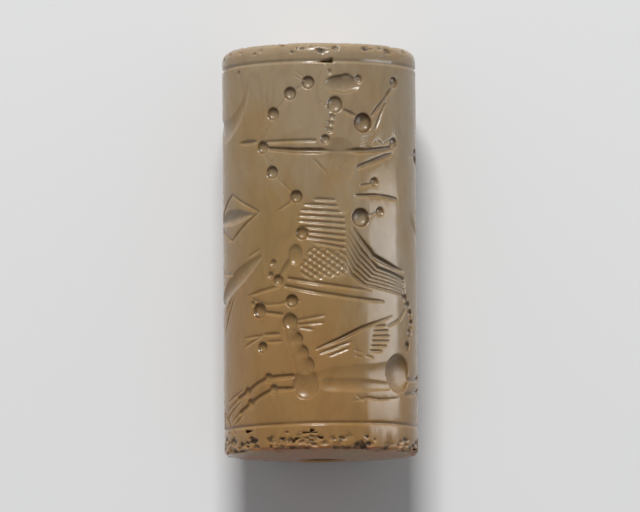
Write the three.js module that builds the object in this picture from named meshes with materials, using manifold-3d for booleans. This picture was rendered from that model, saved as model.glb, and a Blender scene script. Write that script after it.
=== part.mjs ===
// Cylinder seal: one drilled and engraved stone cylinder, lying on its side.
//
// Frame: millimetres, +Z up, +Y towards the upper end of the scene. The middle of the
// front faces up, and the origin is on the table below the middle of the stone.
//
// The scene is stated as it reads in the rolled-out print: u runs to the right from the
// middle of the front and v runs up from the foot of the scene. Cut into the stone it is
// mirrored, so u becomes the angle -u / RADIUS about the stone's axis.

import * as THREE from 'three';
import { mergeVertices } from 'three/addons/utils/BufferGeometryUtils.js';
import Module from 'manifold-3d';

// Driving dimensions of the stone.
const DIAMETER = 18.4;
const LENGTH = 38.8;
const BORE_DIAMETER = 4.2;
const FLAT_WIDTH = 3.0;
const UPPER_RIM = { radial: 0.9, axial: 1.15 };
const LOWER_RIM = { radial: 0.45, axial: 0.45 };
const LOWER_CROWN = 0.4;
const BORE_MOUTH = 0.3;

// The two border lines, and the foot of the scene, measured from the ends of the stone.
const UPPER_LINE_INSET = 1.8;
const GROUND_LINE_INSET = 2.9;
const SCENE_INSET = 2.65;
const LINE_WIDTH = 0.36;
const LINE_DEPTH = 0.16;

// How deep the tools go, as a share of the width of what they cut.
const DRILL_DEPTH = 0.55;
const WHEEL_DEPTH = 0.5;
const LEAST_DEPTH = 0.12;
const CUTTER_LIFT = 0.15;

// Facets.
const STONE_FACETS = 40;
const RIM_STEPS = 2;
const BALL_FACETS = [6, 4];
const BLADE_SIDES = 4;
const BLADE_STEP = 2.5;
const CRESCENT_STEPS = 8;
const BIG_CUT = 1.8;
const BIG_BALL_FACETS = [8, 6];
const BIG_BLADE_SIDES = 6;

const STONE_COLOUR = 0x9c8260;
const STONE_ROUGHNESS = 0.3;

const RADIUS = DIAMETER / 2;
const BORE_RADIUS = BORE_DIAMETER / 2;
const FLAT_DEPTH = RADIUS - Math.sqrt(RADIUS ** 2 - (FLAT_WIDTH / 2) ** 2);
const AXIS_HEIGHT = RADIUS - FLAT_DEPTH;
const SCENE_Y = -LENGTH / 2 + SCENE_INSET;

const wasm = await Module();
wasm.setup();

// Turns a closed geometry into a solid that can be joined and cut.
function solidOf(geometry) {
  geometry.deleteAttribute('normal');
  geometry.deleteAttribute('uv');
  const merged = mergeVertices(geometry, 1e-5);
  return new wasm.Manifold(new wasm.Mesh({
    numProp: 3,
    vertProperties: new Float32Array(merged.attributes.position.array),
    triVerts: new Uint32Array(merged.index.array),
  }));
}

function geometryOf(solid) {
  const mesh = solid.getMesh();
  const geometry = new THREE.BufferGeometry();
  geometry.setAttribute('position', new THREE.BufferAttribute(mesh.vertProperties, 3));
  geometry.setIndex(new THREE.BufferAttribute(mesh.triVerts, 1));
  geometry.computeVertexNormals();
  return geometry;
}

// Carries a cutter from the flat print (u, v, height above the surface) onto the round
// stone. The print is mirrored, so every triangle is turned over to keep facing out.
function wrapOnStone(geometry) {
  const places = geometry.attributes.position;
  for (let i = 0; i < places.count; i += 1) {
    const angle = -places.getX(i) / RADIUS;
    const reach = RADIUS + places.getZ(i);
    places.setXYZ(
      i,
      reach * Math.sin(angle),
      SCENE_Y + places.getY(i),
      AXIS_HEIGHT + reach * Math.cos(angle),
    );
  }
  const index = geometry.index;
  for (let i = 0; i < index.count; i += 3) {
    const second = index.getX(i + 1);
    index.setX(i + 1, index.getX(i + 2));
    index.setX(i + 2, second);
  }
  return geometry;
}

// A blade along +Y with its middle at the origin: a lens that is width wide at its start
// and endWidth at its end. Its half-width follows (1 - |t| ^ fullness) ^ 1/2.
function bladeOf(length, width, endWidth, depth, fullness, steps) {
  const widest = Math.max(width, endWidth);
  const deep = depth || Math.max(WHEEL_DEPTH * widest, LEAST_DEPTH);
  const sides = widest > BIG_CUT ? BIG_BLADE_SIDES : BLADE_SIDES;
  const blade = new THREE.SphereGeometry(1, sides, steps);
  const places = blade.attributes.position;
  for (let i = 0; i < places.count; i += 1) {
    const t = places.getY(i);
    const round = Math.sqrt(Math.max(1 - t * t, 0));
    const full = round > 0 ? Math.sqrt(1 - Math.abs(t) ** fullness) / round : 0;
    const half = THREE.MathUtils.lerp(width, endWidth, (t + 1) / 2) / 2;
    places.setXYZ(
      i,
      places.getX(i) * full * half,
      (t * length) / 2,
      (places.getZ(i) * full + CUTTER_LIFT) * deep,
    );
  }
  return blade;
}

// One figure of the scene, with its own origin in the print. It collects its cutters.
class Figure {
  constructor(u, v) {
    this.origin = [u, v];
    this.cutters = [];
  }

  take(geometry, u, v) {
    geometry.translate(this.origin[0] + u, this.origin[1] + v, 0);
    this.cutters.push(solidOf(wrapOnStone(geometry)));
  }

  // A bowl of the round drill, with half-widths along u and v.
  ball(u, v, radius, height = radius) {
    const depth = Math.max(DRILL_DEPTH * Math.min(radius, height), LEAST_DEPTH);
    const facets = radius > BIG_CUT / 2 ? BIG_BALL_FACETS : BALL_FACETS;
    const bowl = new THREE.SphereGeometry(1, ...facets);
    bowl.scale(radius, height, depth);
    bowl.translate(0, 0, CUTTER_LIFT * depth);
    this.take(bowl, u, v);
  }

  // A cut of the wheel from one point to another, pointed at both ends. endWidth lets
  // it widen or taper, and a fullness above 2 makes its ends blunt.
  wheel([u1, v1], [u2, v2], width, { endWidth = width, depth = 0, fullness = 2 } = {}) {
    const length = Math.hypot(u2 - u1, v2 - v1);
    const steps = 2 + Math.round(Math.abs(u2 - u1) / BLADE_STEP);
    const blade = bladeOf(length, width, endWidth, depth, fullness, steps);
    blade.rotateZ(Math.atan2(v2 - v1, u2 - u1) - Math.PI / 2);
    this.take(blade, (u1 + u2) / 2, (v1 + v2) / 2);
  }

  // A half ring, open upwards, as wide as given at its lowest point. (u, v) is its centre.
  crescent(u, v, radius, width) {
    const blade = bladeOf(Math.PI * radius, width, width, 0, 2, CRESCENT_STEPS);
    const places = blade.attributes.position;
    for (let i = 0; i < places.count; i += 1) {
      const turn = places.getY(i) / radius;
      const reach = radius + places.getX(i);
      places.setXY(i, reach * Math.sin(turn), -reach * Math.cos(turn));
    }
    this.take(blade, u, v);
  }

  // A run of wheel cuts, end to end.
  path(points, width, options) {
    for (let i = 1; i < points.length; i += 1) {
      this.wheel(points[i - 1], points[i], width, options);
    }
  }

  // Evenly spread cuts from a line of starts to a line of ends.
  fan(count, [startA, startB], [endA, endB], width, options) {
    const between = (a, b, share) => a.map((value, i) => THREE.MathUtils.lerp(value, b[i], share));
    for (let i = 0; i < count; i += 1) {
      const share = i / (count - 1);
      this.wheel(between(startA, startB, share), between(endA, endB, share), width, options);
    }
  }
}

// The robed person with both hands raised.
function worshipper() {
  const figure = new Figure(-18.5, 6.0);
  figure.ball(1.2, 23.4, 1.48, 1.05);
  figure.ball(1.3, 21.2, 1.0);
  figure.ball(-1.3, 20.4, 0.9);
  figure.ball(-1.3, 17.3, 1.4);
  figure.wheel([0.6, 18.4], [0.2, 11.5], 2.6, { depth: 0.6, fullness: 4 });
  figure.wheel([0.4, 14.2], [-1.9, 1.6], 2.2, { endWidth: 5.2, depth: 0.8, fullness: 6 });
  figure.wheel([0.7, 16.8], [5.3, 19.8], 1.3, { endWidth: 0.8 });
  figure.ball(5.6, 20.1, 0.68);
  figure.wheel([6.1, 20.0], [7.9, 19.8], 0.3);
  figure.wheel([1.6, 14.2], [4.6, 13.8], 1.15);
  figure.path([[4.4, 13.6], [5.7, 13.0], [7.9, 14.6]], 0.28);
  for (const [heelU, heelV, toeU, toeV] of [[-4.1, 0.6, -1.0, -0.3], [0.0, 0.8, 3.4, 0.2]]) {
    figure.wheel([heelU, heelV], [toeU, toeV], 1.2, { endWidth: 0.5 });
  }
  return figure;
}

// The archer, drawing a bow that is a chain of drilled balls.
function archer() {
  const figure = new Figure(-2.2, 12.0);
  figure.ball(-0.2, 20.4, 1.3, 0.9);
  figure.ball(-1.7, 20.6, 0.45);
  figure.ball(0.7, 18.2, 0.85);
  figure.ball(1.65, 14.95, 0.5);
  figure.ball(-5.9, 20.6, 0.57);
  figure.ball(-2.1, 16.6, 0.95);
  figure.wheel([-5.5, 19.9], [-3.0, 17.2], 0.4);
  figure.wheel([-4.9, 18.6], [-3.5, 15.9], 0.38);
  figure.ball(-5.8, 14.9, 0.55);
  figure.wheel([-5.6, 14.2], [-2.0, 12.4], 0.6);
  figure.wheel([-4.0, 13.8], [6.9, 13.8], 0.6);
  figure.wheel([2.6, 14.85], [7.6, 14.85], 0.34);
  figure.wheel([8.6, 14.95], [11.0, 14.95], 0.5);
  const bow = [[3.25, 20.3], [5.0, 19.3], [6.75, 17.45], [7.9, 14.35], [6.9, 11.9], [4.45, 9.5]];
  for (const [u, v] of bow) {
    figure.ball(u, v, 0.62);
  }
  figure.wheel([4.8, 9.2], [6.5, 8.1], 0.3);
  figure.wheel([0.3, 14.4], [0.0, 8.3], 4.2, { endWidth: 0.8, depth: 0.45, fullness: 4 });
  figure.ball(-3.3, 11.0, 0.48);
  figure.wheel([-2.9, 10.7], [-1.7, 10.6], 0.36);
  figure.wheel([-6.2, 9.5], [-1.3, 9.65], 0.38);
  figure.ball(-1.8, 7.6, 0.88);
  figure.ball(-3.95, 8.2, 0.46);
  figure.fan(5, [[0.5, 9.2], [-0.3, 5.3]], [[4.0, 8.9], [3.4, 5.7]], 0.38);
  figure.fan(3, [[-0.3, 4.0], [-1.0, 2.4]], [[3.4, 2.0], [1.2, 1.8]], 0.3);
  figure.fan(3, [[0.2, 1.8], [4.0, 2.1]], [[-0.8, 3.5], [2.0, 4.4]], 0.3);
  figure.fan(2, [[-2.9, 0.75], [-4.2, -0.2]], [[5.2, 1.8], [5.4, 1.1]], 0.36);
  figure.fan(3, [[-0.6, 6.6], [-0.3, 4.6]], [[-3.6, 3.7], [-2.2, 2.2]], 0.44);
  figure.fan(3, [[-3.3, 3.7], [-2.3, 1.6]], [[-7.4, 2.5], [-6.9, 0.4]], 0.46);
  figure.ball(3.9, 6.05, 0.6);
  figure.ball(4.5, 4.15, 0.75, 0.95);
  figure.wheel([4.6, 3.8], [6.2, 1.9], 0.7, { depth: 0.2 });
  figure.ball(6.3, 1.75, 0.5);
  figure.ball(4.95, -0.25, 0.62);
  figure.path([[5.2, -0.5], [7.6, -0.5], [10.1, 0.6]], 0.34);
  return figure;
}

// The winged beast that gallops below the archer.
function wingedBeast() {
  const figure = new Figure(-4.0, 0.0);
  const tail = [[-5.7, 12.3], [-6.3, 11.6], [-6.9, 10.7], [-7.3, 9.7], [-7.1, 8.6], [-6.5, 7.6]];
  for (const [u, v] of tail) {
    figure.ball(u, v, 0.5);
  }
  figure.path([[-6.1, 12.0], [-4.6, 10.4], [-3.0, 9.3]], 0.38);
  figure.ball(-4.6, 5.1, 1.8);
  figure.wheel([-4.8, 4.7], [5.6, 4.5], 2.8, { depth: 0.5, fullness: 5 });
  figure.ball(5.5, 3.75, 1.25);
  figure.wheel([5.4, 4.8], [7.0, 10.6], 1.7, { endWidth: 1.3, depth: 0.5, fullness: 4 });
  figure.fan(2, [[3.1, 10.4], [3.2, 9.0]], [[6.0, 9.6], [6.0, 8.9]], 0.34);
  figure.wheel([7.8, 10.5], [9.6, 10.8], 0.42);
  figure.ball(10.2, 11.0, 0.75);
  figure.wheel([8.0, 8.6], [9.7, 8.7], 0.4);
  figure.ball(9.9, 7.5, 0.55);
  figure.fan(2, [[10.9, 8.6], [11.0, 8.1]], [[12.4, 8.5], [12.4, 7.6]], 0.3);
  figure.path([[6.7, 4.5], [9.2, 4.6], [11.8, 3.4], [15.0, 1.9]], 0.5);
  figure.path([[6.6, 3.5], [8.6, 3.5], [11.6, 2.3], [14.2, 0.8]], 0.5);
  figure.path([[-6.2, 4.4], [-9.7, 4.8], [-14.1, 3.7], [-17.4, 1.6]], 0.5);
  figure.path([[-6.0, 3.1], [-9.4, 3.6], [-14.2, 2.6], [-17.4, 0.6]], 0.5);
  for (const [u, v] of [[-14.1, 3.7], [-14.2, 2.6], [-9.6, 4.8], [9.2, 4.6], [8.6, 3.5], [11.8, 3.4]]) {
    figure.ball(u, v, 0.48);
  }
  figure.wheel([-3.9, 10.5], [4.4, 7.4], 0.42);
  figure.fan(2, [[0.8, 8.0], [0.9, 7.4]], [[4.3, 7.0], [4.1, 6.4]], 0.4);
  figure.fan(4, [[-3.3, 9.6], [-1.9, 7.1]], [[-1.2, 9.4], [-0.8, 7.2]], 0.36);
  figure.path([[-4.2, 2.6], [-1.0, 2.75], [1.0, 2.0]], 0.3);
  return figure;
}

function crescent() {
  const figure = new Figure(12.05, 32.9);
  figure.crescent(0.0, 0.0, 4.55, 1.9);
  return figure;
}

// The rhomb with a deep eye in it.
function rhomb() {
  const figure = new Figure(10.5, 20.0);
  const corners = [[-4.3, 0.3], [-0.1, 2.2], [4.3, -0.2], [-0.1, -2.1], [-4.3, 0.3]];
  figure.path(corners, 0.34);
  figure.wheel([-3.7, 0.1], [3.8, 0.0], 1.6);
  return figure;
}

function fish() {
  const figure = new Figure(6.4, 15.6);
  figure.wheel([-0.4, 0.3], [8.6, -3.9], 1.8, { depth: 0.45, fullness: 3 });
  figure.wheel([6.4, -3.2], [12.0, -3.7], 1.1, { endWidth: 0.4 });
  figure.wheel([4.0, -0.9], [7.0, -0.5], 0.32);
  figure.wheel([3.6, -3.1], [6.2, -6.4], 0.3);
  figure.wheel([7.2, -4.2], [10.9, -7.2], 0.34);
  return figure;
}

// The winged monster, rearing on the mound with its paws up.
function monster() {
  const figure = new Figure(25.9, 21.7);
  figure.ball(0.0, 0.0, 1.75);
  figure.fan(3, [[-2.8, 5.5], [-3.9, 3.2]], [[0.2, 2.4], [-1.5, 0.7]], 0.5);
  figure.ball(-4.4, 5.5, 1.2);
  figure.fan(2, [[-5.3, 10.2], [-4.7, 10.3]], [[-3.9, 6.6], [-2.4, 5.6]], 0.32);
  figure.wheel([-6.9, 7.0], [-4.9, 6.2], 0.45);
  figure.ball(-7.4, 7.3, 0.62);
  figure.ball(-8.3, 7.7, 0.32);
  figure.ball(-6.4, 2.5, 0.68);
  figure.wheel([-6.0, 2.7], [-3.4, 3.9], 0.55);
  figure.wheel([-0.2, 2.4], [2.9, 0.9], 1.15);
  figure.ball(2.8, 1.0, 0.8);
  figure.wheel([2.9, 1.0], [6.4, 5.1], 0.85);
  figure.ball(7.2, 5.5, 1.48);
  for (const [u, v] of [[7.0, 8.0], [8.1, 7.4], [9.0, 6.4], [9.0, 5.1]]) {
    figure.ball(u, v, 0.48);
  }
  figure.wheel([0.6, -1.6], [3.6, -3.2], 1.05);
  figure.ball(4.1, -3.5, 1.3, 1.55);
  figure.fan(4, [[5.2, -2.6], [4.8, -4.7]], [[7.0, -1.6], [6.8, -6.8]], 0.42);
  figure.fan(3, [[0.2, 5.4], [1.2, 2.9]], [[3.0, 10.6], [3.2, 3.8]], 0.42);
  figure.path([[-2.2, 1.2], [-5.8, -2.0], [-8.4, -0.8]], 0.5);
  figure.fan(4, [[-5.6, -1.9], [-2.8, -2.4]], [[-8.5, -2.0], [-5.0, -4.9]], 0.42);
  figure.fan(4, [[-1.6, -1.8], [1.0, -2.4]], [[-4.2, -7.4], [-1.9, -9.0]], 0.56);
  figure.ball(-5.4, -9.0, 1.8, 2.7);
  figure.fan(3, [[-11.1, -5.1], [-11.2, -7.3]], [[-6.6, -7.0], [-6.9, -7.6]], 0.34);
  for (const v of [-5.1, -6.4, -7.3]) {
    figure.ball(-11.1, v, 0.38);
  }
  figure.ball(-7.3, -12.4, 0.7);
  figure.wheel([-7.9, -13.0], [-9.9, -17.4], 0.7, { depth: 0.15 });
  figure.ball(-10.0, -17.8, 0.66);
  figure.wheel([-10.0, -17.6], [-12.4, -18.3], 0.34);
  figure.fan(2, [[-9.6, -17.6], [-9.6, -18.5]], [[-6.8, -18.2], [-7.3, -18.8]], 0.32);
  figure.wheel([-4.4, -8.0], [-1.5, -12.2], 2.0);
  figure.ball(-1.8, -12.7, 0.8);
  figure.wheel([-1.6, -13.2], [0.4, -17.8], 0.7);
  figure.ball(-0.1, -17.9, 0.62);
  figure.wheel([-0.1, -18.0], [-2.6, -18.8], 0.34);
  figure.fan(2, [[0.4, -17.9], [0.2, -18.6]], [[3.5, -17.9], [4.1, -18.7]], 0.34);
  return figure;
}

// The mound under the monster: a low trapezoid filled with a net.
function mound() {
  const figure = new Figure(21.6, 0.0);
  figure.path([[-11.4, 0.0], [-7.6, 2.6], [7.6, 2.6], [11.2, 0.0]], 0.34);
  figure.fan(6, [[-9.0, 1.8], [6.4, 2.4]], [[-6.4, 0.2], [9.2, 0.2]], 0.34);
  figure.fan(3, [[-7.0, 0.2], [4.4, 0.2]], [[-4.8, 2.3], [6.8, 2.3]], 0.3);
  return figure;
}

function bird() {
  const figure = new Figure(25.8, 12.2);
  figure.ball(0.0, 0.0, 0.5);
  figure.ball(1.5, 0.0, 0.62);
  figure.wheel([1.0, -0.5], [6.8, -0.9], 1.6);
  figure.fan(3, [[5.0, -0.2], [4.6, -1.4]], [[9.2, 1.5], [9.0, -3.6]], 0.36);
  figure.wheel([3.0, 0.2], [4.9, 1.7], 0.3);
  figure.wheel([-0.5, -1.4], [1.1, -1.0], 0.3);
  return figure;
}

// The stone before carving, as a closed profile of [radius, y] turned about the Y axis:
// up the bore, out over the upper end, down the wall with its two lines, and back in over
// the lower end, which is worn to a low crown.
function blankStone() {
  const top = LENGTH / 2;
  const profile = [[BORE_RADIUS, top - BORE_MOUTH], [BORE_RADIUS + BORE_MOUTH, top]];
  for (let i = 0; i <= RIM_STEPS; i += 1) {
    const turn = (i / RIM_STEPS) * (Math.PI / 2);
    profile.push([
      RADIUS - UPPER_RIM.radial * (1 - Math.sin(turn)),
      top - UPPER_RIM.axial * (1 - Math.cos(turn)),
    ]);
  }
  for (const y of [top - UPPER_LINE_INSET, -top + GROUND_LINE_INSET]) {
    profile.push([RADIUS, y + LINE_WIDTH / 2], [RADIUS - LINE_DEPTH, y], [RADIUS, y - LINE_WIDTH / 2]);
  }
  for (let i = RIM_STEPS; i >= 0; i -= 1) {
    const turn = (i / RIM_STEPS) * (Math.PI / 2);
    profile.push([
      RADIUS - LOWER_RIM.radial * (1 - Math.sin(turn)),
      -top + LOWER_CROWN + LOWER_RIM.axial * (1 - Math.cos(turn)),
    ]);
  }
  profile.push([RADIUS * 0.65, -top + LOWER_CROWN * 0.3]);
  profile.push([BORE_RADIUS + BORE_MOUTH, -top], [BORE_RADIUS, -top + BORE_MOUTH], profile[0]);
  const points = profile.map(([radius, y]) => new THREE.Vector2(radius, y)).reverse();
  const geometry = new THREE.LatheGeometry(points, STONE_FACETS);
  geometry.translate(0, 0, AXIS_HEIGHT);
  return solidOf(geometry);
}

// Everything below the table, which leaves the narrow flat that the stone lies on.
function belowTable() {
  const block = new THREE.BoxGeometry(DIAMETER, LENGTH * 2, DIAMETER);
  block.translate(0, 0, -DIAMETER / 2);
  return solidOf(block);
}

function carvedStone() {
  const figures = [
    worshipper(), archer(), wingedBeast(), crescent(), rhomb(), fish(), monster(), mound(), bird(),
  ];
  const cutters = figures.flatMap((figure) => figure.cutters);
  const scene = cutters.reduce((whole, cutter) => whole.add(cutter));
  return blankStone().subtract(scene).subtract(belowTable());
}

const stoneMaterial = new THREE.MeshStandardMaterial({
  color: STONE_COLOUR,
  roughness: STONE_ROUGHNESS,
  metalness: 0,
});

const sealStone = new THREE.Mesh(geometryOf(carvedStone()), stoneMaterial);
sealStone.name = 'seal_stone';

const cylinderSeal = new THREE.Group();
cylinderSeal.add(sealStone);

export default cylinderSeal;
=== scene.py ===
"""Engraved cylinder seal of brown chalcedony, lying on its side.

The stone is one closed surface: a profile turned about the long axis, pressed inwards by a
depth field. The field is worked out on the unrolled wall, as the seal's own print reads:
u runs to the right and v runs up from the foot of the scene, both in millimetres. Cut into
the stone the scene is mirrored, so the angle about the axis falls as u grows.
"""

import logging
import math
from dataclasses import dataclass, field
from enum import Enum
from typing import Sequence

import bpy
import numpy as np
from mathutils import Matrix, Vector


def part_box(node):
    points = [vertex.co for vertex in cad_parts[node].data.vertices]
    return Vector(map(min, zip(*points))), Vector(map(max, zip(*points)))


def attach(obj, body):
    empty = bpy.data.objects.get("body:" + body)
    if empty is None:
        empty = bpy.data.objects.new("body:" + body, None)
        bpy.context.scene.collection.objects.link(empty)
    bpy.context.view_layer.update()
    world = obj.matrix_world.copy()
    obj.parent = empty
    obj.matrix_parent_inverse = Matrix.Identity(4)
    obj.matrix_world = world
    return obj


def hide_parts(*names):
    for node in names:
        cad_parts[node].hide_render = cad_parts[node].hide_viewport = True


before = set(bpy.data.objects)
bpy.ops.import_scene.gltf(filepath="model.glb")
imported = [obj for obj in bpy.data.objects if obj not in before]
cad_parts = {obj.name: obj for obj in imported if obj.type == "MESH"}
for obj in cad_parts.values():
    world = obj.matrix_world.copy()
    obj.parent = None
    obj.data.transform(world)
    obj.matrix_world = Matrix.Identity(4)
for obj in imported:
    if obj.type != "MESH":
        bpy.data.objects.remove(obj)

MM = 0.001
NODE = "seal_stone"
SEED = 11
LOG = logging.getLogger("cylinder_seal")

Point = tuple[float, float]
Pair = tuple[float, float]
Triple = tuple[float, float, float]
Array = np.ndarray
Socket = bpy.types.NodeSocket


# ----- the blank stone


@dataclass(frozen=True)
class Blank:
    """The stone before engraving. Sizes are in millimetres."""

    diameter: float
    length: float
    height: float
    bore: float = 4.2
    bore_mouth: float = 0.3
    upper_rim: Pair = (0.9, 1.15)
    lower_rim: Pair = (0.45, 0.45)
    lower_crown: float = 0.4
    crown_power: float = 1.4
    scene_inset: float = 2.65
    ground_line_inset: float = 2.9
    upper_line_inset: float = 1.8

    @property
    def radius(self) -> float:
        """Radius of the wall."""
        return self.diameter / 2

    @property
    def girth(self) -> float:
        """Length once round the wall."""
        return math.pi * self.diameter

    @property
    def axis_height(self) -> float:
        """Height of the long axis above the table."""
        return self.height - self.radius

    @property
    def scene_y(self) -> float:
        """Place along the axis of the foot of the scene, where v is 0."""
        return -self.length / 2 + self.scene_inset

    @property
    def ground_line(self) -> float:
        """Height v of the ground line, which is cut just below the foot of the scene."""
        return self.ground_line_inset - self.scene_inset

    @property
    def upper_line(self) -> float:
        """Height v of the upper border line."""
        return self.length - self.scene_inset - self.upper_line_inset


@dataclass
class Profile:
    """A closed profile, row by row: place, outward normal and height v along the surface."""

    radius: Array
    y: Array
    normal_r: Array
    normal_y: Array
    v: Array
    outside_rows: int


def quarter_arc(radial: float, axial: float, count: int) -> tuple[Array, ...]:
    """Points of a quarter ellipse, from where it leaves the wall to where it meets the end.

    Args:
        radial: How far it reaches in from the wall.
        axial: How far it reaches down from the end.
        count: Number of points, both ends included.

    Returns:
        Inset from the wall, inset from the end, and the two parts of the outward normal.
    """
    turn = np.linspace(0.0, np.pi / 2, count)
    inset_r = radial * (1.0 - np.cos(turn))
    inset_y = axial * (1.0 - np.sin(turn))
    normal_r = axial * np.cos(turn)
    normal_y = radial * np.sin(turn)
    size = np.hypot(normal_r, normal_y)
    return inset_r, inset_y, normal_r / size, normal_y / size


def profile_of(blank: Blank, wall_pitch: float, end_pitch: float, bore_pitch: float) -> Profile:
    """Works out the profile from the lower bore mouth, over the wall, and back down the bore.

    Args:
        blank: The stone's sizes.
        wall_pitch: Spacing of the rows on the wall and the rims.
        end_pitch: Spacing of the rows on the flat ends.
        bore_pitch: Spacing of the rows down the bore.

    Returns:
        The rows in order. The outside comes first and the bore closes the loop.
    """
    top = blank.length / 2
    bore_edge = blank.bore / 2 + blank.bore_mouth

    def side(rim: Pair) -> list[Array]:
        """Rows from the wall's end, round the rim, to the bore mouth, for the +Y end."""
        arc_r, arc_y, arc_nr, arc_ny = quarter_arc(*rim, max(6, int(sum(rim) / wall_pitch)))
        flat = np.arange(blank.radius - rim[0] - end_pitch, bore_edge, -end_pitch)
        radius = np.concatenate([blank.radius - arc_r, flat, [bore_edge]])
        y = np.concatenate([top - arc_y, np.full(flat.size + 1, top)])
        normal_r = np.concatenate([arc_nr, np.zeros(flat.size + 1)])
        normal_y = np.concatenate([arc_ny, np.ones(flat.size + 1)])
        return [radius, y, normal_r, normal_y]

    upper, lower = side(blank.upper_rim), side(blank.lower_rim)
    crown_width = blank.radius - blank.lower_rim[0] - bore_edge
    worn = np.clip((lower[0] - bore_edge) / crown_width, 0.0, 1.0)
    lower[1] -= blank.lower_crown * worn**blank.crown_power
    low_y, high_y = -lower[1][0], upper[1][0]
    wall_y = np.linspace(low_y, high_y, int((high_y - low_y) / wall_pitch))[1:-1]
    wall_r = np.full(wall_y.size, blank.radius)

    mouth_r, mouth_y, mouth_nr, mouth_ny = quarter_arc(blank.bore_mouth, blank.bore_mouth, 5)
    bore_y = np.arange(top - blank.bore_mouth - bore_pitch, -top + blank.bore_mouth, -bore_pitch)
    bore_r = blank.bore / 2
    down_r = np.concatenate([bore_r + mouth_r[:-1][::-1], np.full(bore_y.size, bore_r)])
    down_y = np.concatenate([top - mouth_y[:-1][::-1], bore_y])
    down_nr = np.concatenate([-mouth_nr[:-1][::-1], np.full(bore_y.size, -1.0)])
    down_ny = np.concatenate([mouth_ny[:-1][::-1], np.zeros(bore_y.size)])

    radius = np.concatenate([lower[0][::-1], wall_r, upper[0], down_r, bore_r + mouth_r[:-1]])
    y = np.concatenate([-lower[1][::-1], wall_y, upper[1], down_y, -top + mouth_y[:-1]])
    normal_r = np.concatenate([lower[2][::-1], wall_r * 0 + 1, upper[2], down_nr, -mouth_nr[:-1]])
    normal_y = np.concatenate([-lower[3][::-1], wall_y * 0, upper[3], down_ny, -mouth_ny[:-1]])

    outside = lower[0].size + wall_y.size + upper[0].size
    step = np.hypot(np.diff(radius[:outside]), np.diff(y[:outside]))
    along = np.concatenate([[0.0], np.cumsum(step)])
    first_wall = lower[0].size
    v = along - along[first_wall] + y[first_wall] - blank.scene_y
    return Profile(radius, y, normal_r, normal_y, v, outside)


# ----- the field the tools press


class Section(Enum):
    """Cross-section that a tool leaves, from the middle of a cut to its edge."""

    BOWL = "ball drill"
    ROUND = "round wheel"
    VEE = "sharp wheel"
    TRAY = "flat scraper"

    def share(self, x: Array) -> Array:
        """Share of the full depth at x.

        Args:
            x: Distance from the middle over the half-width, 0 at the middle and 1 at the edge.

        Returns:
            1 at the middle, falling to 0 at the edge by the section's own law.
        """
        x = np.minimum(x, 1.0)
        if self is Section.BOWL:
            fullness = 1.05
            edge = math.sqrt(fullness - 1.0)
            return (np.sqrt(fullness - x * x) - edge) / (math.sqrt(fullness) - edge)
        if self is Section.ROUND:
            return 1.0 - x * x
        if self is Section.VEE:
            return 1.0 - x
        return 1.0 - x**4


@dataclass
class Rollout:
    """The outside of the stone, unrolled, as a grid of depths pressed into it."""

    u: Array
    v: Array
    girth: float
    depth: Array = field(init=False)

    def __post_init__(self) -> None:
        """Starts with nothing pressed in."""
        self.depth = np.zeros((self.v.size, self.u.size))

    def offsets(self, u: float) -> Array:
        """Signed distance of every column from u, the short way round the stone."""
        return (self.u - u + self.girth / 2) % self.girth - self.girth / 2

    def near(self, u: float, v: float, reach: float) -> tuple[Array, ...]:
        """Cuts out the part of the grid within reach of a place.

        Args:
            u: Place along the print.
            v: Place up the print.
            reach: Half the side of the square that is wanted.

        Returns:
            The rows and columns in it, and the offsets du and dv of its cells.
        """
        du = self.offsets(u)
        columns = np.nonzero(np.abs(du) <= reach)[0]
        rows = np.nonzero(np.abs(self.v - v) <= reach)[0]
        return rows, columns, du[columns][None, :], (self.v[rows] - v)[:, None]

    def press(self, rows: Array, columns: Array, depth: Array) -> None:
        """Presses a patch in, where it goes deeper than what is already cut."""
        place = np.ix_(rows, columns)
        self.depth[place] = np.maximum(self.depth[place], depth)


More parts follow.
